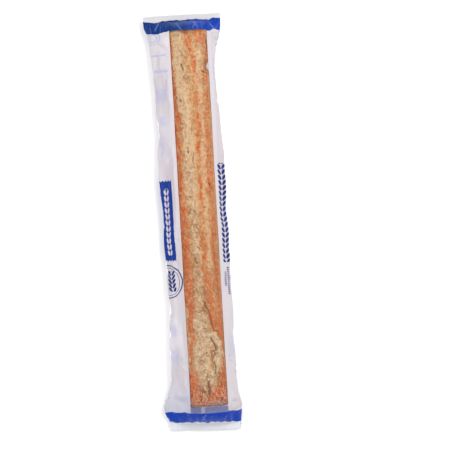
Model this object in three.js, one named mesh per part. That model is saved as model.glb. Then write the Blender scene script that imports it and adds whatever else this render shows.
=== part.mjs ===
// A baguette sealed in a printed flow-wrap bag with a clear window, lying on the bag's back seam.
// Millimetres. X runs across the loaf, Y along it, and Z up from the surface that the bag lies on.
import * as THREE from "three";

const LOAF = {
  length: 532,
  width: 58,
  bottomZ: 1.8, // it rests on the film over the folded back fin
  widestZ: 16,
  rise: 24.2, // of the crown above the widest level
  centreX: 6, // the loaf lies a little to the right in its bag
  centreY: 7, // and nearer to the bag's far end
  cornerRadius: 15, // of the blunt ends, seen from above
  noseLength: 20, // over which the ends round off, seen from the side
  noseZ: 18,
};
const FILM = {
  thickness: 0.3, // stands in for film of 0.04 mm
  gap: 0.3, // between layers that lie on each other
};
const BAG = {
  length: 588,
  halfWidthMid: 45,
  halfWidthSeal: 53,
  creaseZ: 14,
  sealLength: 10, // of each crimped end seal
  clearance: 1.5, // from the loaf to the middle of the film
  finRootX: -4,
  finWidth: 12,
};
const WINDOW = {
  left: -19,
  right: 34,
  near: -267,
  far: 271,
  lap: 5, // by which the clear patch reaches past the opening in the bag
};
// The end seals: each one's height above the surface, and the distance over which the bag opens out from it.
const NEAR_END = { sealZ: 5, shoulder: 44 };
const FAR_END = { sealZ: 14, shoulder: 30 };

const SECTION_POINTS = 36;
const LAYER = FILM.thickness + FILM.gap;
const SEAL_HEIGHT = 4 * LAYER; // of the front film over the lowest layer, across the folded fin and the patch
const UPPER_SHAPE = 2.5; // exponents of the loaf's oval section
const LOWER_SHAPE = 4.2;
const FILM_LOWER_SHAPE = 8;
const FRONT_POINTS = [5, 3, 12, 3, 4]; // in each part of the bag's front: side, lap, window, lap, side

const loafEnds = [LOAF.centreY - LOAF.length / 2, LOAF.centreY + LOAF.length / 2];

const smoothstep = (t) => {
  const c = Math.min(1, Math.max(0, t));
  return c * c * (3 - 2 * c);
};
const power = (value, exponent) => Math.sign(value) * Math.abs(value) ** exponent;

// The loaf's slow swell and wander along its length.
const loafHalfWidth = (y) =>
  LOAF.width / 2 + 0.7 * Math.sin(y / 52 + 1.1) + 0.5 * Math.sin(y / 21 + 2);
const loafRise = (y) => LOAF.rise + 0.7 * Math.sin(y / 64 + 0.4) + 0.4 * Math.sin(y / 25);
const loafCentreX = (y) => LOAF.centreX + 0.8 * Math.sin(y / 90 + 0.7);

// How far a rounded end has opened at a distance from its tip: 0 at the tip, and 1 from length on.
const roundedEnd = (distance, length) =>
  distance >= length ? 1 : Math.sqrt(1 - (1 - Math.max(0, distance) / length) ** 2);

// A closed loop of [x, z] points: an oval with a flat bottom, from the right side over the top to the left.
function ovalSection(y, { grow, bottomZ, lowerShape, furrow, shareX, shareZ, middleZ }) {
  const points = [];
  for (let i = 0; i < SECTION_POINTS; i++) {
    const angle = (2 * Math.PI * i) / SECTION_POINTS;
    const up = Math.sin(angle) > 0;
    const shape = 2 / (up ? UPPER_SHAPE : lowerShape);
    const height = up ? loafRise(y) + grow : LOAF.widestZ - bottomZ;
    const inward = 1 - furrow * Math.exp(-(((angle - 0.95) / 0.16) ** 2));
    const x = (loafHalfWidth(y) + grow) * power(Math.cos(angle), shape) * inward;
    const z = LOAF.widestZ + height * power(Math.sin(angle), shape) * inward;
    points.push([loafCentreX(y) + x * shareX, middleZ + (z - middleZ) * shareZ]);
  }
  return points;
}

// The loaf's outline at one station, with a shallow furrow along the right shoulder.
function loafSection(y) {
  const distance = Math.min(y - loafEnds[0], loafEnds[1] - y);
  const half = LOAF.width / 2;
  return ovalSection(y, {
    grow: 0,
    bottomZ: LOAF.bottomZ,
    lowerShape: LOWER_SHAPE,
    furrow: 0.045,
    shareX: 1 - (LOAF.cornerRadius / half) * (1 - roundedEnd(distance, LOAF.cornerRadius)),
    shareZ: 0.3 + 0.7 * roundedEnd(distance, LOAF.noseLength),
    middleZ: LOAF.noseZ,
  });
}

// Stations along the loaf: close together where its ends round off.
function loafStations() {
  const turns = 6;
  const spans = 26;
  const straight = LOAF.length - 2 * LOAF.noseLength;
  const depth = (i) => LOAF.noseLength * (1 - Math.cos((i * Math.PI) / 2 / turns));
  const nose = Array.from({ length: turns }, (_, i) => depth(i));
  const middle = Array.from({ length: spans + 1 }, (_, i) => LOAF.noseLength + (straight * i) / spans);
  return [
    ...[...nose, ...middle].map((d) => loafEnds[0] + d),
    ...nose.reverse().map((d) => loafEnds[1] - d),
  ];
}

// Half of the convex outline that taut film takes round a set of [x, z] points, from left to right: the lower
// half for a side of 1 and the upper half for -1.
function hullSide(points, side) {
  const sorted = [...points].sort((a, b) => a[0] - b[0]);
  const chain = [];
  for (const p of sorted) {
    while (chain.length > 1) {
      const [a, b] = chain.slice(-2);
      const turn = (b[0] - a[0]) * (p[1] - a[1]) - (b[1] - a[1]) * (p[0] - a[0]);
      if (side * turn > 0) break;
      chain.pop();
    }
    chain.push(p);
  }
  return chain;
}

const between = (a, b, t) => [a[0] + (b[0] - a[0]) * t, a[1] + (b[1] - a[1]) * t];

// The stretch of a left-to-right path from one x to another.
function stretch(path, fromX, toX) {
  const pointAt = (x) => {
    const i = path.findIndex((p) => p[0] >= x);
    if (i <= 0) return i ? path.at(-1) : path[0];
    return between(path[i - 1], path[i], (x - path[i - 1][0]) / (path[i][0] - path[i - 1][0]));
  };
  return [pointAt(fromX), ...path.filter((p) => p[0] > fromX && p[0] < toX), pointAt(toX)];
}

// The same path with a given number of points, evenly spaced.
function resample(path, count) {
  const lengths = [0];
  for (let i = 1; i < path.length; i++)
    lengths.push(lengths[i - 1] + Math.hypot(path[i][0] - path[i - 1][0], path[i][1] - path[i - 1][1]));
  const out = [];
  let k = 0;
  for (let i = 0; i < count; i++) {
    const at = (lengths.at(-1) * i) / (count - 1);
    while (k < path.length - 2 && lengths[k + 1] < at) k++;
    out.push(between(path[k], path[k + 1], (at - lengths[k]) / (lengths[k + 1] - lengths[k] || 1)));
  }
  return out;
}

// The middle line of the bag's film at one station, from the back fin's lower leg clockwise round the loaf to
// its upper leg. The front is split at the edges of the window's patch and of the window itself.
function filmSection(y) {
  const end = y < 0 ? NEAR_END : FAR_END;
  const distance = BAG.length / 2 - BAG.sealLength - Math.abs(y);
  const full = smoothstep(distance / end.shoulder);
  const open = roundedEnd(distance, end.shoulder);
  const half = BAG.halfWidthSeal + (BAG.halfWidthMid - BAG.halfWidthSeal) * full;
  const base = end.sealZ * (1 - open) + FILM.thickness / 2;
  const reach = SEAL_HEIGHT / 2;
  const crease = Math.max(end.sealZ + (BAG.creaseZ - end.sealZ) * full, base + reach);
  const creases = [-1, 1].flatMap((side) => [
    [side * half, crease],
    [side * (half - reach), crease - reach],
    [side * (half - reach), crease + reach],
  ]);
  const round = ovalSection(y, {
    grow: BAG.clearance,
    bottomZ: FILM.thickness / 2,
    lowerShape: FILM_LOWER_SHAPE,
    furrow: 0,
    shareX: 1,
    shareZ: Math.max(open, 0.02),
    middleZ: end.sealZ + reach,
  }).map(([x, z]) => [x, Math.max(z, base)]);
  const tipX = BAG.finRootX + BAG.finWidth;
  const pastFin = tipX + 4 * LAYER;
  const points = [...creases, ...round, [BAG.finRootX, base], [pastFin, base]];
  const under = hullSide(points, 1);
  const over = hullSide(points, -1);
  const line = (fromX, toX, z) => resample([[fromX, z], [toX, z]], 4);
  const lowerLeg = line(tipX, BAG.finRootX, base);
  const backLeft = resample(stretch(under, -half, BAG.finRootX).reverse(), 6).slice(1);
  const edges = [-half, WINDOW.left - WINDOW.lap, WINDOW.left, WINDOW.right, WINDOW.right + WINDOW.lap, half];
  const part = (count, i) => resample(stretch(over, edges[i], edges[i + 1]), count).slice(1);
  const front = FRONT_POINTS.map(part);
  // The index at which each part of the front ends: its two laps and the window lie between its sides.
  let at = lowerLeg.length + backLeft.length - 1;
  const [patchLeft, openingLeft, openingRight, patchRight] = front.map((run) => (at += run.length));
  return {
    points: [
      ...lowerLeg,
      ...backLeft,
      ...front.flat(),
      ...resample(stretch(under, pastFin, half).reverse(), 5).slice(1),
      ...line(tipX + LAYER, BAG.finRootX + LAYER, base + 2 * LAYER),
      [BAG.finRootX + LAYER / 2, base + 1.5 * LAYER],
      ...line(BAG.finRootX + LAYER, tipX, base + LAYER),
    ],
    patch: [patchLeft, patchRight],
    opening: [openingLeft, openingRight],
  };
}

// Stations along the bag: close together in the end seals and where the film closes over the loaf's ends.
function filmStations() {
  const steps = [0, 5, 10, 13, 18, 23, 27, 34, 43, 54];
  const spans = 18;
  const half = BAG.length / 2;
  const inner = half - steps.at(-1);
  const middle = Array.from({ length: spans - 1 }, (_, i) => -inner + (2 * inner * (i + 1)) / spans);
  return [...steps.map((d) => d - half), ...middle, ...steps.map((d) => half - d).reverse()];
}

// A line moved sideways, to the left of the way it runs.
function offsetLine(line, amount) {
  const direction = (a, b) => new THREE.Vector2(b[0] - a[0], b[1] - a[1]).normalize();
  return line.map((p, i) => {
    const before = direction(line[Math.max(0, i - 1)], i ? p : line[1]);
    const after = direction(i + 1 < line.length ? p : line[i - 1], line[Math.min(line.length - 1, i + 1)]);
    const along = before.add(after).normalize();
    return [p[0] - along.y * amount, p[1] + along.x * amount];
  });
}

function meshGeometry(positions, index) {
  const geometry = new THREE.BufferGeometry();
  geometry.setAttribute("position", new THREE.Float32BufferAttribute(positions, 3));
  geometry.setIndex(index);
  geometry.computeVertexNormals();
  return geometry;
}

// A closed solid from rings of [x, y, z] points, each one a closed loop, with a fan to a point over each end.
function skinRings(rings, tips) {
  const count = rings[0].length;
  const index = [];
  for (let r = 0; r + 1 < rings.length; r++)
    for (let i = 0; i < count; i++) {
      const a = r * count + i;
      const b = r * count + ((i + 1) % count);
      index.push(a, b, b + count, a, b + count, a + count);
    }
  const firstTip = rings.length * count;
  const lastRing = firstTip - count;
  for (let i = 0; i < count; i++) {
    const next = (i + 1) % count;
    index.push(next, i, firstTip, lastRing + i, lastRing + next, firstTip + 1);
  }
  return meshGeometry([...rings, tips].flat(2), index);
}

// A closed solid from two grids of [x, y, z] points, the film's outer and inner faces, less the cells that keep
// leaves out.
function skinSheet(outer, inner, keep = () => true) {
  const rows = outer.length;
  const columns = outer[0].length;
  const kept = (r, c) => r >= 0 && c >= 0 && r < rows - 1 && c < columns - 1 && keep(r, c);
  const index = [];
  const quad = (a, b, c, d) => index.push(a, b, c, a, c, d);
  const outside = (r, c) => r * columns + c;
  const inside = (r, c) => rows * columns + outside(r, c);
  const wall = (r0, c0, r1, c1) => quad(outside(r0, c0), inside(r0, c0), inside(r1, c1), outside(r1, c1));
  for (let r = 0; r < rows - 1; r++)
    for (let c = 0; c < columns - 1; c++) {
      if (!kept(r, c)) continue;
      quad(outside(r, c), outside(r, c + 1), outside(r + 1, c + 1), outside(r + 1, c));
      quad(inside(r, c), inside(r + 1, c), inside(r + 1, c + 1), inside(r, c + 1));
      if (!kept(r, c - 1)) wall(r + 1, c, r, c);
      if (!kept(r, c + 1)) wall(r, c + 1, r + 1, c + 1);
      if (!kept(r - 1, c)) wall(r, c, r, c + 1);
      if (!kept(r + 1, c)) wall(r + 1, c + 1, r + 1, c);
    }
  // Only the points that a face uses stay.
  const positions = [...outer, ...inner].flat();
  const used = [...new Set(index)];
  const place = new Map(used.map((old, i) => [old, i]));
  return meshGeometry(used.flatMap((old) => positions[old]), index.map((old) => place.get(old)));
}

const placed = (line, y) => line.map(([x, z]) => [x, y, z]);

function makeLoaf() {
  const rings = loafStations().map((y) => placed(loafSection(y), y).reverse());
  const tips = loafEnds.map((y) => [loafCentreX(y), y + 0.4 * Math.sign(y), LOAF.noseZ]);
  const crust = new THREE.MeshStandardMaterial({ color: 0xd2a070, roughness: 0.85, metalness: 0 });
  const loaf = new THREE.Mesh(skinRings(rings, tips), crust);
  loaf.name = "loaf";
  return loaf;
}

// The printed film, one web folded round the loaf, with the window's opening in its front.
function makeBag() {
  const stations = filmStations();
  const sections = stations.map(filmSection);
  const face = (amount) => sections.map((s, i) => placed(offsetLine(s.points, amount), stations[i]));
  const [first, last] = sections[0].opening;
  const keep = (r, c) =>
    c < first || c >= last || stations[r] < WINDOW.near || stations[r + 1] > WINDOW.far;
  const film = new THREE.MeshStandardMaterial({ color: 0xdcd3db, roughness: 0.35, metalness: 0 });
  const bag = new THREE.Mesh(skinSheet(face(FILM.thickness / 2), face(-FILM.thickness / 2), keep), film);
  bag.name = "bag";
  return bag;
}

// The clear patch behind the opening, a layer further in than the bag's front.
function makeWindow() {
  const reach = (y) => y >= WINDOW.near - 2 * WINDOW.lap && y <= WINDOW.far + 2 * WINDOW.lap;
  const stations = filmStations().filter(reach);
  const sections = stations.map(filmSection);
  const part = (section, amount) => offsetLine(section.points, amount).slice(section.patch[0], section.patch[1] + 1);
  const face = (amount) => sections.map((s, i) => placed(part(s, amount), stations[i]));
  const clear = new THREE.MeshStandardMaterial({
    color: 0xf4f4f6,
    roughness: 0.12,
    metalness: 0,
    transparent: true,
    opacity: 0.25,
  });
  const half = FILM.thickness / 2;
  const window = new THREE.Mesh(skinSheet(face(half - LAYER), face(-half - LAYER)), clear);
  window.name = "window";
  return window;
}

const baguette = new THREE.Group();
baguette.add(makeLoaf(), makeBag(), makeWindow());

export default baguette;
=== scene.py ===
"""A baguette sealed in a printed bag of thin film, with a clear window in its front.

Lengths in the tables and formulas are millimetres in the part's frame: X across the loaf, Y along it from
the near end to the far end, and Z up from the surface that the bag lies on. Objects are in metres.
"""

import math

import bpy
import numpy as np
from mathutils.bvhtree import BVHTree
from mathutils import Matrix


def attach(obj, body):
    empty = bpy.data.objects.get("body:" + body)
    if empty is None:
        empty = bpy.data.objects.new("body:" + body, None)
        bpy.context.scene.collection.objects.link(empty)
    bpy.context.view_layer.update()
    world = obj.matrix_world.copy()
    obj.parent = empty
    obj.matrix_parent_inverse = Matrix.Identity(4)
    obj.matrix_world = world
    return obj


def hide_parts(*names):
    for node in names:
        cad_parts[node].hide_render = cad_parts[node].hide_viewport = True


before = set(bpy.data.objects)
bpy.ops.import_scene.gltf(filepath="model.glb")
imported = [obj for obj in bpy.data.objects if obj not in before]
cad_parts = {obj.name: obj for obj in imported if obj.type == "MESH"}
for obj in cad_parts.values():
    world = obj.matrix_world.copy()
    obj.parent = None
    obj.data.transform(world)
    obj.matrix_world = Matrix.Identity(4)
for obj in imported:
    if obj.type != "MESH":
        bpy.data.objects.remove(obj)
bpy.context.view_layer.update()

MM = 0.001

# The loaf. Its size and place are the CAD's. Its ends have tighter corners, and it is a little wider and
# further right, so that the crust fills the window.
LOAF_LENGTH, LOAF_WIDTH = 532, 58
LOAF_BOTTOM_Z, LOAF_WIDEST_Z, LOAF_RISE = 1.8, 16, 24.2
LOAF_X, LOAF_Y = 6, 7
EXTRA_HALF_WIDTH, EXTRA_X = 0.5, 0.4
CORNER_RADIUS, NOSE_LENGTH, NOSE_Z = 6, 20, 18
UPPER_SHAPE, LOWER_SHAPE, FILM_LOWER_SHAPE = 2.5, 4.2, 8  # exponents of the section's oval
LOAF_STEP = 0.9  # between the points of the crust's mesh

# The bag as the CAD has it, and its window, whose edges are within 1 mm of the CAD's.
BAG_LENGTH, SEAL_LENGTH = 588, 10
CREASE_Z, CLEARANCE = 14, 1.0
FIN_ROOT_X, FIN_WIDTH = -4, 12
WINDOW_X, WINDOW_Y, LAP = (-19, 33.5), (-267, 270), 5
NEAR_END = {"seal_z": 5, "shoulder": 44}
FAR_END = {"seal_z": 14, "shoulder": 30}

# Where the bag's side folds lie, seen from above: (y, x).
LEFT_FOLD = [
    (-294, -49.5), (-282, -51), (-266, -55.5), (-246, -51), (-221, -44), (-204, -44.8), (-186, -44.6),
    (-155, -43.2), (-104, -41.6), (-60, -43.2), (0, -44), (60, -45.3), (105, -43.3), (150, -44),
    (236, -46.5), (262, -51), (276, -55), (294, -55.5),
]
RIGHT_FOLD = [
    (-294, 49.5), (-266, 51), (-240, 49), (-224, 48), (-187, 47.3), (-160, 47.8), (-109, 47.4), (-60, 47.2),
    (60, 47.5), (105, 47.2), (150, 44.4), (236, 43.5), (262, 49), (280, 53), (294, 53.5),
]

FILM = 0.2  # thickness, several times that of real film
LAYER = 0.6  # from one layer of the back seam to the next
SEALED_LAYER = 0.18  # the same where the end seals press them together


# ---------------------------------------------------------------- shapes in numbers


def smoothstep(t):
    t = np.clip(t, 0, 1)
    return t * t * (3 - 2 * t)


def power(value, exponent):
    return np.sign(value) * np.abs(value) ** exponent


def rounded_end(distance, length):
    return np.sqrt(1 - (1 - np.clip(distance / length, 0, 1)) ** 2)


def curve_through(points, at):
    """A smooth curve through (place, value) points."""
    places, values = np.array(points, float).T
    slopes = np.gradient(values, places)
    i = np.clip(np.searchsorted(places, at) - 1, 0, len(places) - 2)
    span = places[i + 1] - places[i]
    t = np.clip((at - places[i]) / span, 0, 1)
    return (
        values[i] * (1 + 2 * t) * (1 - t) ** 2
        + values[i + 1] * t * t * (3 - 2 * t)
        + span * (slopes[i] * t * (1 - t) ** 2 - slopes[i + 1] * t * t * (1 - t))
    )


def gradient_noise(points, size, seed):
    """Smooth noise, about -1 to 1, with lumps of that size, at points in rows of x, y and z."""
    cells = 64  # before the noise repeats
    table = np.random.default_rng(seed).normal(size=(cells, cells, cells, 3))
    table /= np.linalg.norm(table, axis=-1, keepdims=True)
    place = points / size + 0.37 * seed
    corner = np.floor(place).astype(int)
    part = place - corner
    fade = part**3 * (part * (part * 6 - 15) + 10)
    total = np.zeros(len(points))
    for step in np.ndindex(2, 2, 2):
        slope = table[tuple(((corner + step) % cells).T)]
        weight = np.prod(np.where(step, fade, 1 - fade), axis=1)
        total += weight * ((part - step) * slope).sum(1)
    return 1.6 * total


def ridged(points, size, seed):
    """Noise with narrow ridges of about 1 on a floor of 0."""
    return np.clip(1 - 2.4 * np.abs(gradient_noise(points, size, seed)), 0, 1) ** 2


def from_line(x, y, line):
    """The distance in plan from each point to a line of (x, y) points, and how far along the line its
    nearest place is, 0 to 1."""
    line = np.array(line, float)
    spans = np.linalg.norm(np.diff(line, axis=0), axis=1)
    total, done = spans.sum(), 0
    best, along = np.full(x.shape, 1e9), np.zeros(x.shape)
    for a, b, span in zip(line, line[1:], spans):
        t = np.clip(((x - a[0]) * (b[0] - a[0]) + (y - a[1]) * (b[1] - a[1])) / span**2, 0, 1)
        gap = np.hypot(x - a[0] - t * (b[0] - a[0]), y - a[1] - t * (b[1] - a[1]))
        along = np.where(gap < best, (done + t * span) / total, along)
        best = np.minimum(best, gap)
        done += span
    return best, along


# ---------------------------------------------------------------- meshes


def new_object(name, points, faces):
    """A smooth-shaded mesh object from points in millimetres."""
    mesh = bpy.data.meshes.new(name)
    mesh.from_pydata(np.asarray(points) * MM, [], [tuple(f) for f in faces])
    mesh.shade_smooth()
    obj = bpy.data.objects.new(name, mesh)
    bpy.context.scene.collection.objects.link(obj)
    return obj


def give_values(obj, **values):
    """Stores one number or one vector for each point, for the materials to read."""
    for name, numbers in values.items():
        numbers = np.asarray(numbers, np.float32)
        kind = "FLOAT" if numbers.ndim == 1 else "FLOAT_VECTOR"
        attribute = obj.data.attributes.new(name, kind, "POINT")
        attribute.data.foreach_set("value" if numbers.ndim == 1 else "vector", numbers.ravel())


def normals_of(obj):
    numbers = np.zeros(len(obj.data.vertices) * 3, np.float32)
    obj.data.vertex_normals.foreach_get("vector", numbers)
    return numbers.reshape(-1, 3)


def grid_normals(grid):
    """Unit normals of a grid of points, on the side where its columns turn left into its rows."""
    normal = np.cross(np.gradient(grid, axis=1), np.gradient(grid, axis=0))
    return normal / np.maximum(np.linalg.norm(normal, axis=-1, keepdims=True), 1e-9)


def grid_shell(grid, outer, inner, kept):
    """Points and faces of a closed thin solid: the kept cells of a grid, between two offsets along its
    normals. The points are the outer face's, row by row, and then the inner face's."""
    rows, columns = grid.shape[:2]
    normals = grid_normals(grid)
    points = np.concatenate([grid + normals * outer, grid + normals * inner]).reshape(-1, 3)
    index = np.arange(rows * columns).reshape(rows, columns)
    far = rows * columns

    def cells(mask, a, b, c, d):
        return np.stack([a[mask], b[mask], c[mask], d[mask]], axis=1)

    a, b, c, d = index[:-1, :-1], index[:-1, 1:], index[1:, 1:], index[1:, :-1]
    faces = [cells(kept, a, b, c, d), cells(kept, a + far, d + far, c + far, b + far)]
    padded = np.pad(kept, 1)
    for shift, p, q in (((1, 0), d, a), ((1, 2), b, c), ((0, 1), a, b), ((2, 1), c, d)):
        beyond = padded[shift[0] : shift[0] + rows - 1, shift[1] : shift[1] + columns - 1]
        faces.append(cells(kept & ~beyond, p, p + far, q + far, q))
    return points, np.concatenate(faces)


def used_only(points, faces, *values):
    """The same mesh without the points that no face uses."""
    used, places = np.unique(faces, return_inverse=True)
    return points[used], places.reshape(faces.shape), *[v[used] for v in values]


def finer(grid, factor):
    """A grid of numbers with factor times as many rows and columns, on smooth curves through the old."""
    for axis in (0, 1):
        old = np.moveaxis(grid, axis, 0)
        ends = np.concatenate([2 * old[:1] - old[1:2], old, 2 * old[-1:] - old[-2:-1]])
        before, start, end, after = ends[:-3], ends[1:-2], ends[2:-1], ends[3:]
        parts = []
        for t in np.arange(factor) / factor:
            parts.append(
                start
                + 0.5 * t * (end - before)
                + 0.5 * t**2 * (2 * before - 5 * start + 4 * end - after)
                + 0.5 * t**3 * (3 * start - before - 3 * end + after)
            )
        new = np.stack(parts, axis=1).reshape(-1, *old.shape[1:])
        grid = np.moveaxis(np.concatenate([new, old[-1:]]), 0, axis)
    return grid


# ---------------------------------------------------------------- camera, floor and light

ROLL = math.radians(3.3)
VIEW_WIDTH = 0.6486  # metres across the picture, at the height of the bag's folds
CAMERA_HEIGHT = 2.4
AIM_ACROSS, AIM_UP = 50.8, -10.2  # from the bag's middle to the picture's, along the picture's own axes
SENSOR_WIDTH = 36


def make_camera():
    """Straight above the bag, which lies left of the picture's middle, with its far end turned left."""
    camera = bpy.data.objects.new("camera", bpy.data.cameras.new("camera"))
    bpy.context.scene.collection.objects.link(camera)
    across, up = AIM_ACROSS * MM, AIM_UP * MM
    camera.location = (
        across * math.cos(ROLL) + up * math.sin(ROLL),
        up * math.cos(ROLL) - across * math.sin(ROLL),
        CAMERA_HEIGHT,
    )
    camera.rotation_euler = (0, 0, -ROLL)
    camera.data.sensor_width = SENSOR_WIDTH
    camera.data.lens = SENSOR_WIDTH * (CAMERA_HEIGHT - CREASE_Z * MM) / VIEW_WIDTH
    bpy.context.scene.camera = camera


def make_light(name, place, size, power_w):
    """A round lamp that points at the bag's middle."""
    light = bpy.data.lights.new(name, "AREA")
    light.shape = "DISK"
    light.size = size
    light.energy = power_w
    obj = bpy.data.objects.new(name, light)
    obj.location = place
    direction = -np.array(place)
    obj.rotation_euler = (
        math.atan2(math.hypot(direction[0], direction[1]), -direction[2]),
        0,
        math.atan2(direction[1], direction[0]) - math.pi / 2,
    )
    bpy.context.scene.collection.objects.link(obj)


FLOOR_Z = -0.3


def make_stage():
    world = bpy.data.worlds.new("studio")
    world.use_nodes = True
    world.node_tree.nodes["Background"].inputs["Color"].default_value = (1, 1, 1, 1)
    world.node_tree.nodes["Background"].inputs["Strength"].default_value = 0.85
    bpy.context.scene.world = world
    bpy.context.scene.view_settings.view_transform = "Standard"
    make_light("key_light", (0.8, 0.5, 1.2), 0.8, 14)
    make_light("fill_light", (-0.9, -0.2, 1.2), 0.9, 6.5)
    reach = 3 / MM  # 3 m each way
    floor = new_object(
        "floor",
        [(x * reach, y * reach, FLOOR_Z) for x, y in ((-1, -1), (1, -1), (1, 1), (-1, 1))],
        [(0, 1, 2, 3)],
    )
    pale = bpy.data.materials.new("pale_floor")
    pale.use_nodes = True
    shader = pale.node_tree.nodes["Principled BSDF"]
    shader.inputs["Base Color"].default_value = (0.97, 0.97, 0.97, 1)
    shader.inputs["Roughness"].default_value = 0.9
    shader.inputs["Specular IOR Level"].default_value = 0.1
    floor.data.materials.append(pale)


# ---------------------------------------------------------------- the loaf


def loaf_half_width(y):
    return LOAF_WIDTH / 2 + EXTRA_HALF_WIDTH + 0.7 * np.sin(y / 52 + 1.1) + 0.5 * np.sin(y / 21 + 2)


def loaf_rise(y):
    return LOAF_RISE + 0.7 * np.sin(y / 64 + 0.4) + 0.4 * np.sin(y / 25)


def loaf_centre_x(y):
    return LOAF_X + EXTRA_X + 0.8 * np.sin(y / 90 + 0.7)


def oval(y, angle, grow, bottom_z, lower_shape, furrow, share_x, share_z, middle_z):
    """x and z on the loaf's oval section at y, for angles from the right side over the top. A furrow draws
    it in at the upper right. Shares under 1 shrink it across, and up and down towards middle_z."""
    up = np.sin(angle) > 0
    shape = 2 / np.where(up, UPPER_SHAPE, lower_shape)
    height = np.where(up, loaf_rise(y) + grow, LOAF_WIDEST_Z - bottom_z)
    inward = 1 - furrow * np.exp(-(((angle - 0.95) / 0.16) ** 2))
    x = (loaf_half_width(y) + grow) * power(np.cos(angle), shape) * inward
    z = LOAF_WIDEST_Z + height * power(np.sin(angle), shape) * inward
    return loaf_centre_x(y) + x * share_x, middle_z + (z - middle_z) * share_z


def loaf_oval(y, angle, furrow=0.045):
    distance = np.minimum(y - LOAF_Y, LOAF_Y - y) + LOAF_LENGTH / 2
    share = CORNER_RADIUS / (LOAF_WIDTH / 2)
    return oval(
        y, angle, 0, LOAF_BOTTOM_Z, LOWER_SHAPE, furrow,
        1 - share * (1 - rounded_end(distance, CORNER_RADIUS)),
        0.3 + 0.7 * rounded_end(distance, NOSE_LENGTH),
        NOSE_Z,
    )


END_BULGE = 0.4  # of the loaf's flat ends


def even_angles(count):
    """Angles whose points lie evenly round the loaf's section."""
    fine = np.linspace(0, 2 * np.pi, 8001)
    x, z = loaf_oval(np.zeros_like(fine), fine, furrow=0)
    lengths = np.concatenate([[0], np.cumsum(np.hypot(np.diff(x), np.diff(z)))])
    return np.interp(np.arange(count) / count * lengths[-1], lengths, fine)


def loaf_rings():
    """Rings of points along the loaf, the last few closing over each blunt end, and y of the two ends."""
    girth, nose_arc, cap_reach = 165, 30, 16
    angles = even_angles(round(girth / LOAF_STEP))
    nose = NOSE_LENGTH * (1 - np.cos(np.linspace(0, np.pi / 2, round(nose_arc / LOAF_STEP))))
    straight_rings = round((LOAF_LENGTH - 2 * NOSE_LENGTH) / LOAF_STEP)
    straight = np.linspace(NOSE_LENGTH, LOAF_LENGTH - NOSE_LENGTH, straight_rings)
    depth = np.concatenate([nose, straight[1:-1], LOAF_LENGTH - nose[::-1]])
    y = depth + LOAF_Y - LOAF_LENGTH / 2
    x, z = loaf_oval(y[:, None], angles[None, :])
    rings = np.stack([x, np.broadcast_to(y[:, None], x.shape), z], axis=-1)
    caps = round(cap_reach / LOAF_STEP)
    closing = []
    for ring, side in ((rings[0], -1), (rings[-1], 1)):
        middle = np.array([loaf_centre_x(ring[0, 1]), ring[0, 1], NOSE_Z])
        shares = np.linspace(1, 0, caps + 1)[1:-1]
        bulge = [(0, side * END_BULGE * (1 - s * s), 0) for s in shares]
        closing.append([middle + (ring - middle) * s + out for s, out in zip(shares, bulge)])
    return np.concatenate([closing[0][::-1], rings, closing[1]]), y[[0, -1]]


# Strokes of colour on the crust: (x, y) points, half width and strength. Red-brown where it baked most.
TOASTED = [
    ([(-21, 262), (-20, 200), (-18, 165), (-17, 110), (-17, 70)], 4.0, 0.9),
    ([(-16, 172), (-13, 140), (-14, 90), (-14, 62)], 3.4, 0.7),
    ([(-17, 70), (-16, 30), (-15, -20), (-15, -70), (-17, -110)], 7.0, 0.95),
    ([(-12, 4), (-11, -20), (-11, -60), (-12, -72)], 4.0, 0.9),
    ([(-12, 20), (-11, -40), (-11, -100), (-12, -165)], 5.0, 1.0),
    ([(-15, -100), (-14, -130), (-15, -160), (-18, -210), (-18, -262)], 5.0, 0.8),
    ([(15, 150), (13, 120), (12, 82), (13, 60), (12, 10), (11, -40), (13, -90)], 3.2, 0.8),
    ([(13, 64), (13, 48), (12, 34)], 2.8, 0.95),
    ([(12, 4), (11, -6)], 2.6, 0.9),
    ([(15, -72), (16, -100), (18, -124), (22, -150)], 4.0, 0.9),
    ([(27, 178), (26, 120), (27, 60), (26, 0), (28, -60), (30, -130)], 5.0, 0.55),
    ([(24, 66), (24, 44)], 3.0, 0.8),
    ([(24, -20), (24, -42)], 3.2, 0.8),
    ([(30, -130), (31, -190), (31, -262)], 4.5, 0.85),
    ([(3, 268), (7, 250), (9, 240)], 4.4, 0.9),
    ([(9, 240), (13, 222), (14, 212)], 3.4, 0.8),
    ([(20, 268), (21, 256)], 6.0, 0.8),
    ([(12, 205), (14, 190), (14, 166)], 3.4, 0.6),
    ([(20, 198), (28, 202)], 4.0, 0.5),
    ([(30, 262), (31, 240), (31, 205), (30, 150)], 2.6, 0.7),
    ([(-15, -214), (-11, -236), (-7, -258)], 8.0, 0.95),
    ([(32, -222), (24, -238), (12, -252)], 9.0, 0.95),
    ([(-14, -256), (32, -252)], 10.0, 0.9),
]
# Where flour lay on the dough and left it pale, the same way.
FLOURED = [
    ([(-8, 264), (-8, 216), (-7, 170)], 9.0, 1.0),
    ([(-5, 180), (-2, 140), (-1, 90), (-1, 40)], 8.5, 1.0),
    ([(-1, 40), (2, 0), (2, -45)], 6.2, 0.85),
    ([(2, -40), (4, -80), (2, -105)], 6.2, 0.5),
    ([(2, -105), (3, -140)], 7.0, 0.7),
    ([(1, -136), (3, -170), (1, -200)], 12.0, 1.0),
    ([(1, -200), (1, -222)], 9.0, 0.9),
    ([(17, -160), (24, -182), (27, -200)], 8.5, 1.0),
    ([(22, -202), (8, -224)], 7.0, 0.85),
    ([(18, 110), (18, 60), (18, 0), (19, -60)], 3.0, 0.35),
    ([(22, 235), (20, 215)], 4.0, 0.5),
    ([(-19, -115), (-18, -160), (-18, -210)], 4.0, 0.95),
]
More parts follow.
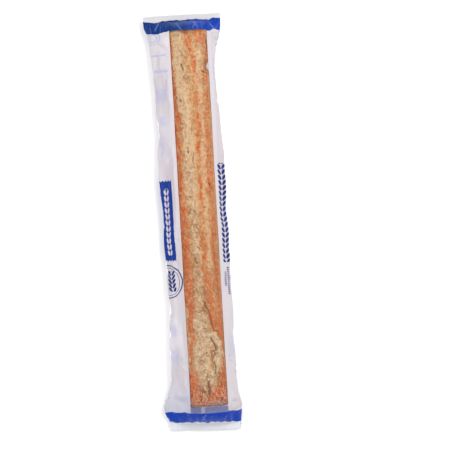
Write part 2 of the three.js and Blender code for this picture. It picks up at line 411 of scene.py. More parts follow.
# Where the crust is drawn into small wrinkles.
WRINKLED = [
    ([(-6, 262), (-2, 225), (-1, 200)], 7.0, 0.6),
    ([(-9, 172), (-7, 130), (-4, 80), (-1, 30)], 7.0, 0.8),
    ([(-2, 20), (1, -40), (2, -110)], 9.0, 1.0),
    ([(2, -100), (4, -160), (3, -235)], 13.0, 1.0),
    ([(17, -160), (19, -215)], 9.0, 1.0),
    ([(-14, -10), (-14, -70)], 5.0, 0.6),
    ([(24, -160), (26, -250)], 6.0, 0.7),
]
# Openings in the crust: (x, y) points, half width and depth.
SLITS = [
    ([(-5, 226), (-4.5, 219), (-1.5, 211)], 1.3, 2.6),
    ([(-3, 204), (1, 200), (6, 204)], 1.0, 1.2),
    ([(-9, 246), (-4, 238), (4, 226)], 0.8, 0.9),
    ([(32, 263), (33.5, 247), (31, 233)], 1.2, 1.4),
    ([(24, 213), (26, 210), (28, 209)], 1.5, 2.6),
    ([(5, 135), (4, 124)], 0.8, 1.2),
    ([(6, 99), (5, 91), (4, 84), (5, 76)], 1.1, 1.6),
    ([(24, 55), (26, 51), (26.5, 46)], 1.2, 2.0),
    ([(4, 32), (3, 24)], 0.9, 1.3),
    ([(-6, 14), (-3, 19), (2, 17), (4, 12), (0, 7), (-2, 12)], 0.8, 0.9),
    ([(-6, -6), (-2, -2), (3, -3), (6, -11), (8, -17)], 1.0, 1.3),
    ([(17, -14), (17, -20)], 0.8, 1.1),
    ([(3, -33), (6, -36), (7, -40)], 1.1, 1.6),
    ([(-1, -50), (0, -55), (2, -58)], 1.6, 2.2),
    ([(-5, -62), (-7, -68)], 1.0, 1.0),
    ([(1, -90), (10, -91)], 0.8, 1.1),
    ([(6, -108), (10, -116), (14, -125)], 1.5, 2.6),
    ([(13, -122), (16, -134), (18, -145), (20, -152), (26, -154)], 1.2, 2.0),
    ([(14, -161), (18, -169), (23, -175), (22, -179), (18, -180), (20, -184), (16, -190)], 1.6, 2.8),
    ([(17, -195), (20, -204), (19, -213)], 1.4, 2.2),
    ([(7, -224), (9, -234), (7, -245)], 1.5, 2.2),
    ([(-3, -229), (1, -235), (3, -240)], 1.3, 1.8),
    ([(26, -2), (26, -39), (27, -60), (29, -113)], 1.0, 0.9),
]
# Burst bubbles: x, y, radius and depth.
PITS = [
    (-14, 176, 2.0, 1.4), (-9, 172, 1.8, 1.5), (-16, 196, 1.6, 1.0), (-6, 262, 1.5, 1.0),
    (17, 247, 1.2, 1.2), (21, 248, 1.0, 1.0), (19, 234, 1.2, 1.2), (24, 237, 1.0, 1.0),
    (-3, 161, 1.2, 1.0), (-8, 151, 1.5, 1.2), (-9, 139, 1.4, 1.0), (3, 144, 1.0, 0.9),
    (-2, 99, 1.7, 2.4), (-7, 71, 1.3, 1.0), (-2, 56, 1.2, 1.0), (-3, 36, 1.8, 2.4),
    (-13, -33, 2.0, 1.0), (8, -183, 1.5, 1.6), (9, -223, 1.8, 1.4), (-15, -82, 1.6, 1.0),
    (24, 120, 1.2, 0.9), (25, 92, 1.2, 0.9), (-6, -150, 1.2, 1.0), (-9, -120, 1.3, 1.0),
    (22, -95, 1.2, 0.9),
]
SMALL_PITS = 330  # that are scattered over the crust as well
# The dent in the loaf's right side.
DENT_Y, DENT_HALF_WIDTH, DENT_DEPTH = 219, 7, 5.5


def strokes(x, y, table):
    """How strongly each point is painted by a table of strokes, 0 to 1."""
    paint = np.zeros(x.shape)
    for line, half, strength in table:
        gap, _ = from_line(x, y, line)
        paint = np.maximum(paint, strength * smoothstep(1.35 - gap / half))
    return paint


def crust(points, normals):
    """How far each point of the plain loaf moves out, and its shares of toasting, flour and shadow."""
    top = smoothstep((normals[:, 2] + 0.1) / 0.7)
    above = normals[:, 2] > 0
    bend = np.stack([gradient_noise(points, 14, seed) for seed in (3, 4, 5)], axis=1)
    ragged = np.stack([gradient_noise(points, 3.6, seed) for seed in (6, 7, 8)], axis=1)
    warped = points + 3.0 * bend + 2.6 * ragged
    x, y = warped[:, 0], warped[:, 1]
    patchy = 0.8 + 0.9 * gradient_noise(points * (1, 0.6, 1), 5, 9)
    toasted = np.clip(strokes(x, y, TOASTED) * top * patchy, 0, 1)
    floured = np.clip(strokes(x, y, FLOURED) * top * (1.1 + 0.7 * gradient_noise(points, 4.4, 10)), 0, 1)
    wrinkled = 0.25 + 0.75 * strokes(x, y, WRINKLED) * top
    # Steep places, which the crust's material paints paler as painted light.
    sides = 1 - smoothstep((normals[:, 2] - 0.05) / 0.5)
    under = smoothstep((-0.5 - normals[:, 2]) / 0.3)

    curled = points + 2.6 * bend + 1.1 * ragged
    folds = ridged(curled * (1, 0.62, 1), 6.5, 11)
    small_folds = ridged(curled * (1, 0.8, 1), 3.6, 12)
    gaps = ridged(curled * (1, 0.7, 1), 4.6, 19) * smoothstep(gradient_noise(points, 8, 20) * 2 + 0.45)
    lumps = 0.9 * gradient_noise(points * (1, 0.6, 1), 17, 13) + 0.45 * gradient_noise(points, 8, 14)
    grain = 0.28 * gradient_noise(points, 2.6, 15) + 0.16 * gradient_noise(points, 1.7, 16)
    blisters = smoothstep((gradient_noise(points, 4.2, 17) - 0.25) / 0.5) * toasted
    creased = wrinkled * (0.8 * folds + 0.5 * small_folds - 1.0 * gaps)
    rise = lumps + creased + grain + 0.55 * blisters - 0.45
    rise = rise * (1 - 0.75 * under)
    dent = np.exp(-(((points[:, 1] - DENT_Y) / DENT_HALF_WIDTH) ** 2))
    dent *= smoothstep((normals[:, 0] - 0.15) / 0.5)
    rise -= DENT_DEPTH * dent

    shadow = 0.6 * gaps * wrinkled * above
    px, py = points[:, 0] + 0.6 * ragged[:, 0], points[:, 1] + 0.6 * ragged[:, 1]
    for line, half, depth in SLITS:
        gap, along = from_line(px, py, line)
        taper = np.clip(np.sin(np.pi * (0.08 + 0.84 * along)), 0.25, 1) * (0.8 + 0.5 * ragged[:, 2])
        groove = np.clip(1 - gap / np.maximum(half * taper * 1.4, 0.2), 0, 1) * above
        lip = np.exp(-(((gap - 2.0 * half) / (0.8 * half)) ** 2)) * np.clip(taper, 0, 1) * above
        rise += 0.3 * depth * lip - 0.8 * depth * groove**0.8
        shadow = np.maximum(shadow, smoothstep(groove * 1.4) * min(0.75, 0.2 + depth / 3.5))
    draw = np.random.default_rng(31)
    limits = ((-20, 32), (-255, 268), (0.5, 1.15), (0.3, 1.0))  # of x, y, radius and depth
    scattered = np.column_stack([draw.uniform(low, high, SMALL_PITS) for low, high in limits])
    for pit_x, pit_y, radius, depth in [*PITS, *scattered]:
        gap = np.hypot(px - pit_x, (py - pit_y) * 0.8)
        bowl = np.clip(1 - gap / radius, 0, 1) * above
        rise += 0.2 * np.exp(-(((gap - 1.3 * radius) / 0.7) ** 2)) * above - depth * bowl**0.7
        shadow = np.maximum(shadow, smoothstep(bowl * 1.5) * min(0.8, 0.2 + depth / 2.8))
    return rise, {
        "toasted": toasted,
        "floured": np.clip(floured - 0.8 * toasted, 0, 1),
        "shadow": shadow,
        # Where painted shade darkens the wrinkled crust: everywhere but on the tops of its folds.
        "crease": np.clip(1 - 1.6 * folds - 0.8 * small_folds, 0, 1) * wrinkled,
        "side": sides,
        "under": under,
    }


def closed_rings(rings, tips):
    """Points and faces of a closed solid from rings of points, with a fan to a tip over each end."""
    count, around = rings.shape[:2]
    index = np.arange(count * around).reshape(count, around)
    turned = np.roll(index, -1, axis=1)
    quads = np.stack([index[:-1], index[1:], turned[1:], turned[:-1]], axis=-1).reshape(-1, 4)
    first, last = count * around, count * around + 1
    fans = [(index[0, i], turned[0, i], first) for i in range(around)]
    fans += [(turned[-1, i], index[-1, i], last) for i in range(around)]
    points = np.concatenate([rings.reshape(-1, 3), tips])
    return points, [*map(tuple, quads), *fans]


def make_loaf():
    rings, ends = loaf_rings()
    tips = [(loaf_centre_x(y), y + side * END_BULGE, NOSE_Z) for y, side in zip(ends, (-1, 1))]
    points, faces = closed_rings(rings, tips)
    loaf = new_object("loaf_crust", points, faces)
    normals = normals_of(loaf)
    rise, paint = crust(points, normals)
    points = points + normals * rise[:, None]
    points[:, 2] = np.maximum(points[:, 2], LOAF_BOTTOM_Z)
    loaf.data.vertices.foreach_set("co", (points * MM).astype(np.float32).ravel())
    loaf.data.update()
    give_values(loaf, **paint)
    return loaf


# ---------------------------------------------------------------- the film

# Columns of the film's grid in each span across it: behind the left, then the left side, its lap, the
# window's two halves, the right lap and side, and behind the right.
SPANS = [9, 14, 3, 11, 11, 3, 14, 8]
LEG = 4  # columns in the back fin's lower leg, before the spans
UPPER_LEG = 5  # columns in each face of its upper leg, after them
ROWS = [7, 200, 6]  # in the film's near end, beside its window, and in its far end


def end_of(y):
    return NEAR_END if y < 0 else FAR_END


def seal_wave(x, y):
    """How far the end seals wave up and down."""
    near = 1.2 * np.sin(x / 13 + 0.6) + 0.7 * np.sin(x / 6.5 + 2)
    far = 1.6 * np.sin(x / 15 + 2.2) + 0.8 * np.sin(x / 7 + 0.4)
    return np.where(y < 0, near, far)


def hull_side(points, side):
    """Half the outline of taut film round points of x and z, left to right: lower for 1, upper for -1."""
    chain = []
    for p in sorted(points):
        while len(chain) > 1:
            a, b = chain[-2:]
            if side * ((b[0] - a[0]) * (p[1] - a[1]) - (b[1] - a[1]) * (p[0] - a[0])) > 0:
                break
            chain.pop()
        chain.append(p)
    return chain


def stretch(path, start_x, end_x, count):
    """Evenly spaced points on a left-to-right path, from one x up to, but without, another."""
    low, high = sorted((start_x, end_x))
    heights = np.interp((low, high), *zip(*path))
    line = [(low, heights[0]), *[p for p in path if low < p[0] < high], (high, heights[1])]
    line = np.array(line if start_x < end_x else line[::-1])
    lengths = np.concatenate([[0], np.cumsum(np.linalg.norm(np.diff(line, axis=0), axis=1))])
    places = np.arange(count) / count * lengths[-1]
    return np.stack([np.interp(places, lengths, values) for values in line.T], axis=1)


def film_section(y):
    """Points of x and z on the film's section at y: the fin's lower leg, the web from the back seam round
    the left, over the loaf and round the right, and the rest of the back seam."""
    end = end_of(y)
    distance = BAG_LENGTH / 2 - SEAL_LENGTH - abs(y)
    full = smoothstep(distance / end["shoulder"])
    opened = rounded_end(distance, end["shoulder"])
    layer = SEALED_LAYER + (LAYER - SEALED_LAYER) * full
    left, right = curve_through(LEFT_FOLD, y), curve_through(RIGHT_FOLD, y)
    base = end["seal_z"] * (1 - opened) + layer / 4
    reach = 2 * layer
    crease = max(end["seal_z"] + (CREASE_Z - end["seal_z"]) * full, base + reach)
    angles = np.linspace(0, 2 * np.pi, 72, endpoint=False)
    x, z = oval(
        y, angles, CLEARANCE, FILM / 2, FILM_LOWER_SHAPE, 0, 1, max(opened, 0.01), end["seal_z"] + reach
    )
    fin_tip = FIN_ROOT_X + FIN_WIDTH
    past_fin = fin_tip + 4 * layer
    round_loaf = list(zip(x, np.maximum(z, base)))
    points = [(left, crease), (right, crease), *round_loaf, (FIN_ROOT_X, base), (past_fin, base)]
    under, over = hull_side(points, 1), hull_side(points, -1)
    marks = [left, WINDOW_X[0] - LAP, WINDOW_X[0], sum(WINDOW_X) / 2, WINDOW_X[1], WINDOW_X[1] + LAP, right]
    runs = [[(x, base) for x in np.linspace(fin_tip, FIN_ROOT_X, LEG + 1)[:-1]]]
    runs.append(stretch(under, FIN_ROOT_X, left, SPANS[0]))
    runs += [stretch(over, a, b, count) for a, b, count in zip(marks, marks[1:], SPANS[1:-1])]
    runs.append(stretch(under, right, past_fin, SPANS[-1]))
    runs.append([(past_fin, base)])
    upper = np.linspace(fin_tip + layer, FIN_ROOT_X + layer, UPPER_LEG)
    lower = np.linspace(FIN_ROOT_X + layer, fin_tip, UPPER_LEG)
    runs.append([(x, base + 2 * layer) for x in upper])
    runs.append([(FIN_ROOT_X + layer / 2, base + 1.5 * layer)])
    runs.append([(x, base + layer) for x in lower])
    return np.concatenate(runs)


def film_rows():
    """The film's stations along the bag, from inside one end seal to inside the other, with one at each end
    of the window."""
    end = BAG_LENGTH / 2 - SEAL_LENGTH + 1
    marks = [-end, *WINDOW_Y, end]
    spans = [np.linspace(a, b, n, endpoint=False) for a, b, n in zip(marks, marks[1:], ROWS)]
    return np.concatenate([*spans, [end]])


def lengths_over(grid, axis):
    """How far along the grid each of its points is, measured over the surface, from the first one."""
    steps = np.linalg.norm(np.diff(grid, axis=axis), axis=-1)
    return np.insert(np.cumsum(steps, axis=axis), 0, 0, axis=axis)


def film_surface():
    """The middle of the film as a grid of points, each followed by its place in the print: x as seen from
    above at the bag's middle, running on round the folds, and y."""
    stations = film_rows()
    grid = np.stack([np.insert(film_section(y), 1, y, axis=1) for y in stations])
    count = sum(SPANS) + 1
    web = slice(LEG, LEG + count)
    starts = LEG + np.concatenate([[0], np.cumsum(SPANS)])
    left, right = starts[1], starts[-2]

    level = np.argmin(np.abs(stations))
    around = lengths_over(grid[level], 0)
    printed_x = grid[level, :, 0].copy()
    printed_x[:left] = printed_x[left] - (around[left] - around[:left])
    printed_x[right:] = printed_x[right] + (around[right:] - around[right])

    free = grid[:, web]
    ends = smoothstep((np.abs(stations) - 215) / 60)[:, None] ** 4
    free[:, :, 2] += ends * seal_wave(free[:, :, 0], free[:, :, 1])
    free[:, :, 2] = np.maximum(free[:, :, 2], FILM)
    grid[:, web] = free
    printed = np.stack(np.broadcast_arrays(printed_x[None, :], stations[:, None]), axis=-1)
    return np.concatenate([grid, printed], axis=-1)


def wrinkles(grid, printed):
    """How far the film's points move off its smooth surface: soft streaks and dents in its sides, sharp
    creases where it is slack, and puckers that run out of the end seals."""
    x, y = printed[..., 0], printed[..., 1]
    points = np.stack([x, y, np.zeros_like(x)], axis=-1).reshape(-1, 3)

    def noise(size, stretched, seed):
        return gradient_noise(points * (1, 1 / stretched, 1), size, seed).reshape(x.shape)

    side = smoothstep((np.abs(x - sum(WINDOW_X) / 2) - 24) / 10)  # 1 beside the window, 0 over it
    behind = smoothstep((CREASE_Z - 4 - grid[..., 2]) / 8) * (np.abs(y) < 250)  # 1 below the side folds
    lying = smoothstep((np.abs(x) - 58) / 8)  # 1 under the loaf
    to_seal = BAG_LENGTH / 2 - SEAL_LENGTH - np.abs(y)
    slack = 0.25 + 0.75 * smoothstep((110 - to_seal) / 90)
    streaks = 1.5 * noise(8, 5, 21) + 1.8 * noise(24, 2.0, 22)
    bent = points + 5 * np.stack([gradient_noise(points, 18, seed) for seed in (23, 24, 25)], axis=1)
    creases = ridged(bent * (1, 0.4, 1), 16, 26).reshape(x.shape) * smoothstep(noise(30, 1.5, 27) * 2 + 0.4)
    sharp = ridged(bent * (1, 0.8, 1), 9, 28).reshape(x.shape) * smoothstep(noise(22, 1, 29) * 2)
    pucker = np.exp(-np.clip(to_seal, 0, 99) / 13) * smoothstep(to_seal / 4)
    folds = 0.9 * np.sin(x / 1.7 + 2.5 * noise(20, 2, 30)) + 1.0 * noise(6, 4, 31)
    loose = side * (streaks + (0.3 + slack) * (2.6 * creases - 2.0 * sharp))
    tight = (1 - side) * (0.3 * noise(14, 4, 32) + 0.4 * slack * sharp)
    moved = (loose + tight) * smoothstep(to_seal / 12) * (1 - 0.85 * behind) + pucker * folds
    return moved * (1 - lying)


def clear_of(grid, solid, gap):
    """The same grid with every point moved out to at least gap millimetres off the loaf's solid."""
    tree = BVHTree.FromObject(solid, bpy.context.evaluated_depsgraph_get())
    points = grid.reshape(-1, 3).copy()
    margin, search = 4, 20
    near = np.abs(points[:, 0] - LOAF_X) < LOAF_WIDTH / 2 + margin
    near &= np.abs(points[:, 1] - LOAF_Y) < LOAF_LENGTH / 2 + margin
    for i in np.flatnonzero(near):
        place, normal, _, _ = tree.find_nearest(tuple(points[i] * MM), search * MM)
        if place is None:
            continue
        place, normal = np.array(place) / MM, np.array(normal)
        if (points[i] - place) @ normal < gap:
            points[i] = place + normal * gap
    return points.reshape(grid.shape)


NEAR_SKEW = 0.03  # how far out of square the bag's near end was cut


def skewed(points):
    """The same points of x, y and z, with the near end's turned a little out of square."""
    points = points.copy()
    points[..., 1] -= NEAR_SKEW * points[..., 0] * smoothstep((-points[..., 1] - 262) / 20)
    return points


RIB = 2.0  # from one rib of the crimped seals to the next
TOOTH_DEPTH = 1.0  # of the zigzag that the ends are cut in


def seal_strip(side):
    """An end seal: both layers of the film pressed into one, in fine ribs, and cut off in a zigzag. Points,
    faces and places in the print."""
    rows, columns = 14, 401
    depth = np.linspace(-0.4, SEAL_LENGTH, rows)[:, None]
    y = side * (BAG_LENGTH / 2 - SEAL_LENGTH + depth)
    left, right = curve_through(LEFT_FOLD, y), curve_through(RIGHT_FOLD, y)
    x = left + (right - left) * np.linspace(0, 1, columns)[None, :]
    tooth = np.abs(x / RIB % 1 - 0.5) * 2
    cut_y = y - side * TOOTH_DEPTH * tooth * smoothstep((depth - 3) / (SEAL_LENGTH - 3))
    pressed = smoothstep((depth - 1) / 2)
    ribs = 0.2 * np.sin(2 * np.pi * x / RIB) * pressed
    z = end_of(side)["seal_z"] + 0.4 + seal_wave(x, y) + ribs
    grid = np.stack([x, cut_y, z], axis=-1)
    half = (0.6 - 0.35 * pressed * np.ones_like(x))[..., None]  # of the thickness
    points, faces = grid_shell(grid, half, -half, np.ones((rows - 1, columns - 1), bool))
    printed = np.stack([x, cut_y], axis=-1).reshape(-1, 2)
    return points, faces, np.concatenate([printed, printed])


def make_film(loaf):
    """The bag, less its window's opening, and the clear patch behind the opening."""
    surface = finer(film_surface(), 2)
    grid, printed = surface[..., :3], surface[..., 3:]
    grid = grid + grid_normals(grid) * wrinkles(grid, printed)[..., None]
    grid = clear_of(grid, loaf, 3 * FILM)
    grid[..., 2] = np.maximum(grid[..., 2], FILM / 2)
    centre = (printed[:-1, :-1] + printed[1:, 1:]) / 2
    x, y = centre[..., 0], centre[..., 1]
    opening = (x > WINDOW_X[0]) & (x < WINDOW_X[1]) & (y > WINDOW_Y[0]) & (y < WINDOW_Y[1])
    patch = (x > WINDOW_X[0] - LAP) & (x < WINDOW_X[1] + LAP)
    patch &= (y > WINDOW_Y[0] - LAP) & (y < WINDOW_Y[1] + LAP)
    made = []
    for name, kept, middle in (("bag_film", ~opening, 0.0), ("window_film", patch, -1.5 * FILM)):
        points, faces = grid_shell(grid, middle + FILM / 2, middle - FILM / 2, kept)
        places = np.concatenate([printed, printed]).reshape(-1, 2)
        inner = np.repeat([0.0, 1.0], len(places) // 2)
        points, faces, places, inner = used_only(points, faces, places, inner)
        if name == "bag_film":
            for side in (-1, 1):
                more_points, more_faces, more_places = seal_strip(side)
                faces = np.concatenate([faces, more_faces + len(points)])
                points = np.concatenate([points, more_points])
                places = np.concatenate([places, more_places])
                inner = np.concatenate([inner, np.zeros(len(more_points))])
        obj = new_object(name, skewed(points), faces)
        give_values(obj, printed=np.column_stack([places, inner]))
        made.append(obj)
    return made


# ---------------------------------------------------------------- materials


LIGHT_LEVEL = 1.3  # how much brighter than white the light shows a white surface


def colour(red, green, blue):
    """The base colour of a surface that shows on a screen as this red, green and blue, 0 to 255."""
    shares = np.array([red, green, blue]) / 255
    linear = np.where(shares <= 0.04045, shares / 12.92, ((shares + 0.055) / 1.055) ** 2.4)
    return (*(linear / LIGHT_LEVEL), 1.0)


class Graph:
    """Short ways to wire the nodes of one material. Values are sockets or plain numbers."""

    def __init__(self, name):
        self.material = bpy.data.materials.new(name)
        self.material.use_nodes = True
        self.tree = self.material.node_tree
        self.shader = self.tree.nodes["Principled BSDF"]

    def wire(self, socket, value):
        if isinstance(value, bpy.types.NodeSocket):
            self.tree.links.new(value, socket)
        else:
            socket.default_value = value

    def node(self, kind, *inputs, **settings):
        node = self.tree.nodes.new("ShaderNode" + kind)
        for name, value in settings.items():
            setattr(node, name, value)
        for socket, value in zip(node.inputs, inputs):
            if value is not None:
                self.wire(socket, value)
        return node

    def math(self, operation, *values):
        return self.node("Math", *values, operation=operation).outputs[0]

    def times(self, first, second):
        return self.math("MULTIPLY", first, second)

    def plus(self, first, second):
        return self.math("ADD", first, second)

    def less(self, first, second):
        return self.math("SUBTRACT", first, second)

    def square(self, value):
        return self.math("POWER", value, 2.0)

    def off(self, value, middle):
        """How far a value is from another, without its sign."""
        return self.math("ABSOLUTE", self.less(value, middle))

    def step(self, value, low, high):
        """0 below low and 1 above high, with a smooth rise between, or a fall where low is the larger."""
        node = self.node("MapRange", value, low, high, 0.0, 1.0, interpolation_type="SMOOTHSTEP")
        return node.outputs[0]

    def within(self, value, low, high, soft):
        """1 between low and high, 0 elsewhere, with edges that are soft on both sides."""
        above = self.step(value, low - soft, low + soft)
        below = self.step(value, high + soft, high - soft)
        return self.times(above, below)

    def mix(self, share, first, second):
        node = self.tree.nodes.new("ShaderNodeMix")
        node.data_type = "RGBA"
        for name, value in (("Factor_Float", share), ("A_Color", first), ("B_Color", second)):
            self.wire(next(s for s in node.inputs if s.identifier == name), value)
        return next(s for s in node.outputs if s.identifier == "Result_Color")

    def value(self, name):
        """The number that each point of the mesh has under a name."""
        return self.node("Attribute", attribute_name=name).outputs["Fac"]

    def parts(self, name):
        """The three numbers of the vector that each point of the mesh has under a name."""
        vector = self.node("Attribute", attribute_name=name).outputs["Vector"]
        return self.node("SeparateXYZ", vector).outputs

    def place(self, scale=(1, 1, 1)):
        """Where on the object a point is, in millimetres."""
        here = self.node("TexCoord").outputs["Object"]
        wide = self.node("VectorMath", here, tuple(s / MM for s in scale), operation="MULTIPLY")
        return wide.outputs[0]

    def noise(self, where, size, detail=2.0, roughness=0.5):
        node = self.node("TexNoise")
        self.wire(node.inputs["Vector"], where)
        self.wire(node.inputs["Scale"], 1 / size)
        self.wire(node.inputs["Detail"], detail)
        self.wire(node.inputs["Roughness"], roughness)
        return node.outputs[0]

    def bump(self, height, depth):
        """Tilts the surface as a height of 0 to 1 over depth millimetres would."""
        node = self.node("Bump")
        self.wire(node.inputs["Distance"], depth * MM)
        self.wire(node.inputs["Height"], height)
        self.wire(self.shader.inputs["Normal"], node.outputs[0])

    def set(self, **values):
        for name, value in values.items():
            self.wire(self.shader.inputs[name.replace("_", " ")], value)


def crust_material():
    """Tan to pale crust, with red-brown toasting, flour and pale grain, painted shade in its wrinkles,
    cracks and pits, painted light on its steep sides and by the window's right edge, and painted glare and
    highlights at its near end.
    """
    g = Graph("baked_crust")
    place = g.place()
    x, y, _ = g.node("SeparateXYZ", place).outputs
    broad = g.noise(place, 22, 3)
    middle = g.noise(g.place((1, 0.6, 1)), 5.5, 5, 0.65)
    fine = g.noise(g.place((1, 0.7, 1)), 2.2, 4, 0.72)
    ragged_x = g.plus(x, g.times(g.less(middle, 0.5), 26.0))
    speck = g.noise(place, 3.1, 3, 0.6)
    darker = g.step(y, 40, -110)  # the near half baked darker
    pale = g.mix(darker, colour(234, 188, 134), colour(216, 166, 118))
    tan = g.mix(darker, colour(226, 170, 112), colour(204, 146, 98))
    base = g.mix(g.step(broad, 0.38, 0.62), tan, pale)
    base = g.mix(g.times(g.step(middle, 0.48, 0.62), 0.75), base, colour(214, 138, 76))
    base = g.mix(g.times(g.step(ragged_x, 19, 28), 0.5), base, colour(184, 120, 78))
    # Painted light: the steep sides are painted paler, to make up for the shade that the film casts on
    # them.
    base = g.mix(g.times(g.value("side"), 0.6), base, colour(240, 166, 110))
    toasted = g.times(g.value("toasted"), g.step(middle, 0.15, 0.5))
    hot = g.mix(g.step(speck, 0.38, 0.62), colour(238, 122, 46), colour(210, 86, 24))
    base = g.mix(toasted, base, hot)
    floured = g.times(g.value("floured"), g.step(fine, 0.25, 0.55))
    flour = g.mix(darker, colour(250, 216, 174), colour(246, 224, 186))
    flour = g.mix(g.step(speck, 0.42, 0.7), flour, colour(230, 186, 140))
    base = g.mix(floured, base, flour)
    dark_grain = g.times(g.step(fine, 0.52, 0.66), 0.58)
    base = g.mix(dark_grain, base, g.mix(floured, colour(150, 86, 46), colour(174, 120, 78)))
    pale_grain = g.times(g.step(fine, 0.46, 0.34), 0.82)
    pale_grain = g.times(pale_grain, g.less(1.0, g.times(toasted, 0.55)))
    base = g.mix(pale_grain, base, colour(244, 218, 176))
    # Painted shade: darker all over the wrinkled crust except on the tops of its folds.
    creased = g.mix(floured, colour(142, 82, 44), colour(166, 116, 74))
    base = g.mix(g.times(g.value("crease"), 0.54), base, creased)
    # Painted light beside the window's right edge, where the film's edge shades the crust.
    film_edge_painted_light = g.step(x, 30.5, WINDOW_X[1])  # by the film's edge, and so painted paler
    base = g.mix(g.times(film_edge_painted_light, 0.6), base, colour(252, 196, 140))
    base = g.mix(g.times(g.value("under"), 0.6), base, colour(190, 140, 92))
    # At the near end: painted glare from the film over the crust, dark lines, and pale lines of painted
    # highlight where wrinkles in the film catch the light.
    painted_glare = g.plus(0.25, g.times(g.step(x, -5, 20), 0.3))
    base = g.mix(g.times(g.step(y, -246, -258), painted_glare), base, colour(196, 176, 178))
    off_line = g.off(g.noise(g.place((1, 0.35, 1)), 9, 2), 0.5)
    near_end = g.times(g.step(y, -216, -240), g.less(1.0, floured))
    dark_line = g.times(g.step(off_line, 0.03, 0.0), near_end)
    base = g.mix(g.times(dark_line, 0.6), base, colour(120, 48, 28))
    # Painted highlights: pale lines where wrinkles in the film catch the light.
    painted_glint = g.times(g.within(off_line, 0.05, 0.08, 0.02), near_end)
    base = g.mix(g.times(painted_glint, 0.5), base, colour(244, 220, 208))
    base = g.mix(g.value("shadow"), base, colour(136, 68, 34))
    dull = g.less(0.75, g.times(toasted, 0.25))
    g.set(Base_Color=base, Roughness=dull)
    g.shader.inputs["Specular IOR Level"].default_value = 0.22
    g.bump(fine, 0.95)
    return g.material


def ear_of_wheat(g, x, y, middle_x, low_y, high_y, pitch, half=2.5):
    """1 on pairs of slanting grains along a line, 0 elsewhere."""
    out = g.off(x, middle_x)
    along = g.math("WRAP", g.less(y, out), pitch / 2, -pitch / 2)
    across = g.less(out, half + 0.3)
    grain = g.square(g.math("DIVIDE", across, half))
    grain = g.plus(grain, g.square(g.math("DIVIDE", along, 0.43 * pitch)))
    return g.times(g.step(grain, 1.15, 0.85), g.within(y, low_y, high_y, 0.1))


def ring(g, x, y, middle, radius, half):
    """1 on a circle's line, 0 elsewhere."""
    squares = g.plus(g.square(g.less(x, middle[0])), g.square(g.less(y, middle[1])))
    from_middle = g.math("SQRT", squares)
    return g.within(from_middle, radius - half, radius + half, 0.15)


def block(g, x, y, low, high, soft=0.2):
    """1 inside a rectangle, 0 outside."""
    return g.times(g.within(x, low[0], high[0], soft), g.within(y, low[1], high[1], soft))


def streak(g, x, y, low, high, half):
    """1 along the middle of a straight stroke from one point of x and y up to another, 0 at its sides."""
    lean = (high[0] - low[0]) / (high[1] - low[1])
    middle = g.plus(g.times(g.less(y, low[1]), lean), low[0])
    return g.times(g.step(g.off(x, middle), half, 0), g.within(y, low[1], high[1], 2.0))


def any_of(g, *masks):
    total = masks[0]
    for mask in masks[1:]:
        total = g.math("MAXIMUM", total, mask)
    return total


# Places in the print. Rectangles are two corners of x and y, and how soft their edges are.
SEAL_MIDDLE = (-43, -81)
SMALL_BARS = [((38.6, -91), (41.8, -71)), ((43.2, -103), (45.8, -64))]
BACK_BARS = [
    ((-90, 120), (-62, 123)),
    ((-90, 112), (-62, 114)),
    ((-90, 104), (-62, 106)),
    ((60, -150), (84, -146)),
    ((60, -140), (84, -138)),
]
GHOST_BARS = [((-44, 236), (-25, 238.5), 0.8), ((-42, 213), (-24, 217), 1.0)]
GHOST_PATCHES = [
    ((-43, 172), (-28, 190), 2.5),
    ((-40, 138), (-32, 152), 3.0),
    ((-41, 96), (-34, 122), 4.0),
    ((-43, -158), (-32, -142), 4.0),
    ((-43, -196), (-31, -176), 5.0),
    ((39, 205), (46, 232), 4.0),
    ((41, -190), (47, -160), 4.0),
]
# Strokes where creases in the end bands catch the light: two points of x and y, and the half width.
BAND_GLINTS = [
    ((-2, 270), (-10, 281), 2.2),
    ((22, 273), (15, 284), 1.8),
    ((14, 272), (20, 283), 1.2),
    ((-34, 272), (-30, 283), 1.4),
    ((42, 271), (38, 280), 1.4),
    ((-6, -280), (2, -269), 2.0),
    ((2, -280), (-4, -272), 1.2),
    ((28, -279), (31, -272), 1.2),
]


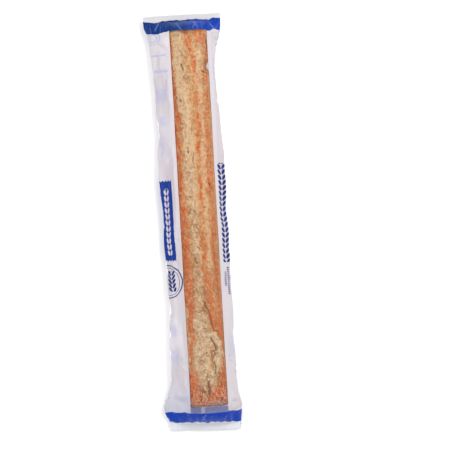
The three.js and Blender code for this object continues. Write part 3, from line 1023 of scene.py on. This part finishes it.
def printed_film():
    """White film with blue print: a band at each end, a ticket and a round seal with ears of wheat, a long
    ear and two rows of short bars. The print on the back shows through a little in front, and all the print
    is paler on the film's inner face."""
    g = Graph("printed_film")
    x, y, inner = g.parts("printed")
    place = g.place()
    broad = g.noise(g.place((1, 0.3, 1)), 30, 2)
    fine = g.noise(g.place((1, 0.5, 1)), 3.2, 3, 0.6)
    wander = g.times(g.less(g.noise(g.place((1, 0.1, 0.1)), 16, 2), 0.5), 9.0)
    band_y = g.plus(y, wander)
    # At the near end the back's band reaches further in than the front's, and most so left of the seam.
    behind = g.math("MAXIMUM", g.step(x, -46, -47), g.step(x, 49, 50))
    further_in = g.plus(g.times(behind, -8.0), g.times(g.step(x, 49, 50), 4.0))
    back_y = g.plus(y, further_in)

    white = g.mix(g.step(broad, 0.35, 0.65), colour(206, 197, 204), colour(226, 220, 226))
    white = g.mix(g.times(g.step(x, 30, 34), 0.6), white, colour(206, 198, 200))
    lap = g.mix(g.step(y, 60, -60), colour(228, 220, 225), colour(214, 206, 211))
    lap = g.mix(g.step(y, -205, -250), lap, colour(198, 198, 213))
    white = g.mix(g.times(g.step(y, -215, -250), g.step(x, 0, -1)), white, colour(204, 203, 215))
    white = g.mix(g.within(x, -24, -18, 0.6), white, lap)
    white = g.mix(g.within(x, 33, 39, 0.6), white, colour(214, 207, 211))
    strip = g.mix(g.step(y, 1, 0), colour(222, 222, 225), colour(235, 237, 243))
    white = g.mix(g.step(g.math("ABSOLUTE", y), 281, 283), white, strip)

    teeth = g.times(g.math("PINGPONG", x, 2.0), 1.2)
    ticket_y = g.plus(g.off(y, 4.5), teeth)
    ticket = g.times(g.within(x, -66, -28, 0.15), g.step(ticket_y, 57.6, 57.2))
    white_ear = ear_of_wheat(g, x, y, -36.5, -44, 50, 8.5, 1.5)
    ticket = g.times(ticket, g.less(1.0, white_ear))
    small_bars = any_of(g, *[block(g, x, y, *corners) for corners in SMALL_BARS])
    small_bars = g.times(small_bars, g.step(g.math("PINGPONG", y, 1.4), 0.5, 0.7))
    navy = any_of(
        g,
        ring(g, x, y, SEAL_MIDDLE, 23, 0.75),
        ring(g, x, y, SEAL_MIDDLE, 19.5, 0.35),
        ear_of_wheat(g, x, y, -36, -95, -66, 6.0, 3.0),
        ear_of_wheat(g, x, y, 42.6, -58, 82, 7.4, 2.15),
        small_bars,
        *[block(g, x, y, *corners) for corners in BACK_BARS],
        ring(g, x, y, (72, -110), 12, 0.6),
    )
    far_band = g.within(band_y, 269, 286, 0.3)
    near_band = g.within(band_y, -281.5, -265.5, 0.3)
    back_band = g.times(behind, g.within(back_y, -291, -266, 0.3))
    bare_seam = g.math("MAXIMUM", g.step(x, -86, -87), g.step(x, 100, 101))
    band = g.times(any_of(g, far_band, near_band, back_band), g.less(1.0, bare_seam))
    # Painted light and shade: the far band is darker on its left and lighter on its right.
    band_colour = g.mix(g.step(x, -10, 25), colour(0, 50, 126), colour(0, 58, 168))
    band_colour = g.mix(g.step(y, 0, -1), band_colour, colour(0, 58, 176))
    # Painted highlights: pale lines along creases in the end bands, and the glints.
    creased = g.noise(g.place((1.8, 0.25, 1)), 7, 1)
    creased = g.step(g.off(creased, 0.52), 0.03, 0.0)
    glints = any_of(g, *[streak(g, x, y, *stroke) for stroke in BAND_GLINTS])
    light = g.math("MAXIMUM", g.times(creased, 0.16), g.times(glints, 0.42))
    band_colour = g.mix(light, band_colour, colour(130, 158, 226))

    ghost = any_of(
        g,
        ring(g, x, y, (-39, 262), 9, 0.7),
        ring(g, x, y, (-39, 262), 5.5, 0.7),
        *[block(g, x, y, *bar) for bar in GHOST_BARS],
    )
    patches = any_of(g, *[block(g, x, y, *patch) for patch in GHOST_PATCHES])
    mottled = g.step(g.noise(place, 4, 3), 0.2, 0.55)
    ghost = g.plus(g.times(ghost, 0.85), g.times(patches, 0.5))
    ghost = g.times(ghost, mottled)
    base = g.mix(ghost, white, colour(184, 190, 226))
    base = g.mix(ticket, base, colour(0, 50, 146))
    base = g.mix(navy, base, colour(8, 34, 116))
    base = g.mix(band, base, band_colour)
    base = g.mix(g.times(inner, 0.45), base, colour(228, 228, 236))
    g.set(Base_Color=base)
    g.shader.inputs["Roughness"].default_value = 0.32
    g.shader.inputs["Specular IOR Level"].default_value = 0.14
    g.shader.inputs["Transmission Weight"].default_value = 0.1
    # The inner face glows, in place of the light that thin film lets through, and least at the two ends.
    lit = g.plus(0.4, g.times(g.step(g.math("ABSOLUTE", y), 262, 254), 0.45))
    glow = g.mix(g.times(inner, lit), (0, 0, 0, 1), base)
    g.set(Emission_Color=glow)
    g.shader.inputs["Emission Strength"].default_value = 1.0
    g.bump(fine, 0.12)
    return g.material


def clear_film():
    g = Graph("clear_film")
    g.set(Base_Color=colour(70, 70, 76), Roughness=0.12, Alpha=0.06)
    g.bump(g.noise(g.place((1, 0.4, 1)), 4, 3, 0.6), 0.1)
    return g.material


def dress(piece, node, material):
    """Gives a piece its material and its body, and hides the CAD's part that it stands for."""
    piece.data.materials.append(material)
    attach(piece, "root")
    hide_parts(node)


make_camera()
make_stage()
loaf = make_loaf()
bag, window = make_film(loaf)
dress(loaf, "loaf", crust_material())
dress(bag, "bag", printed_film())
dress(window, "window", clear_film())
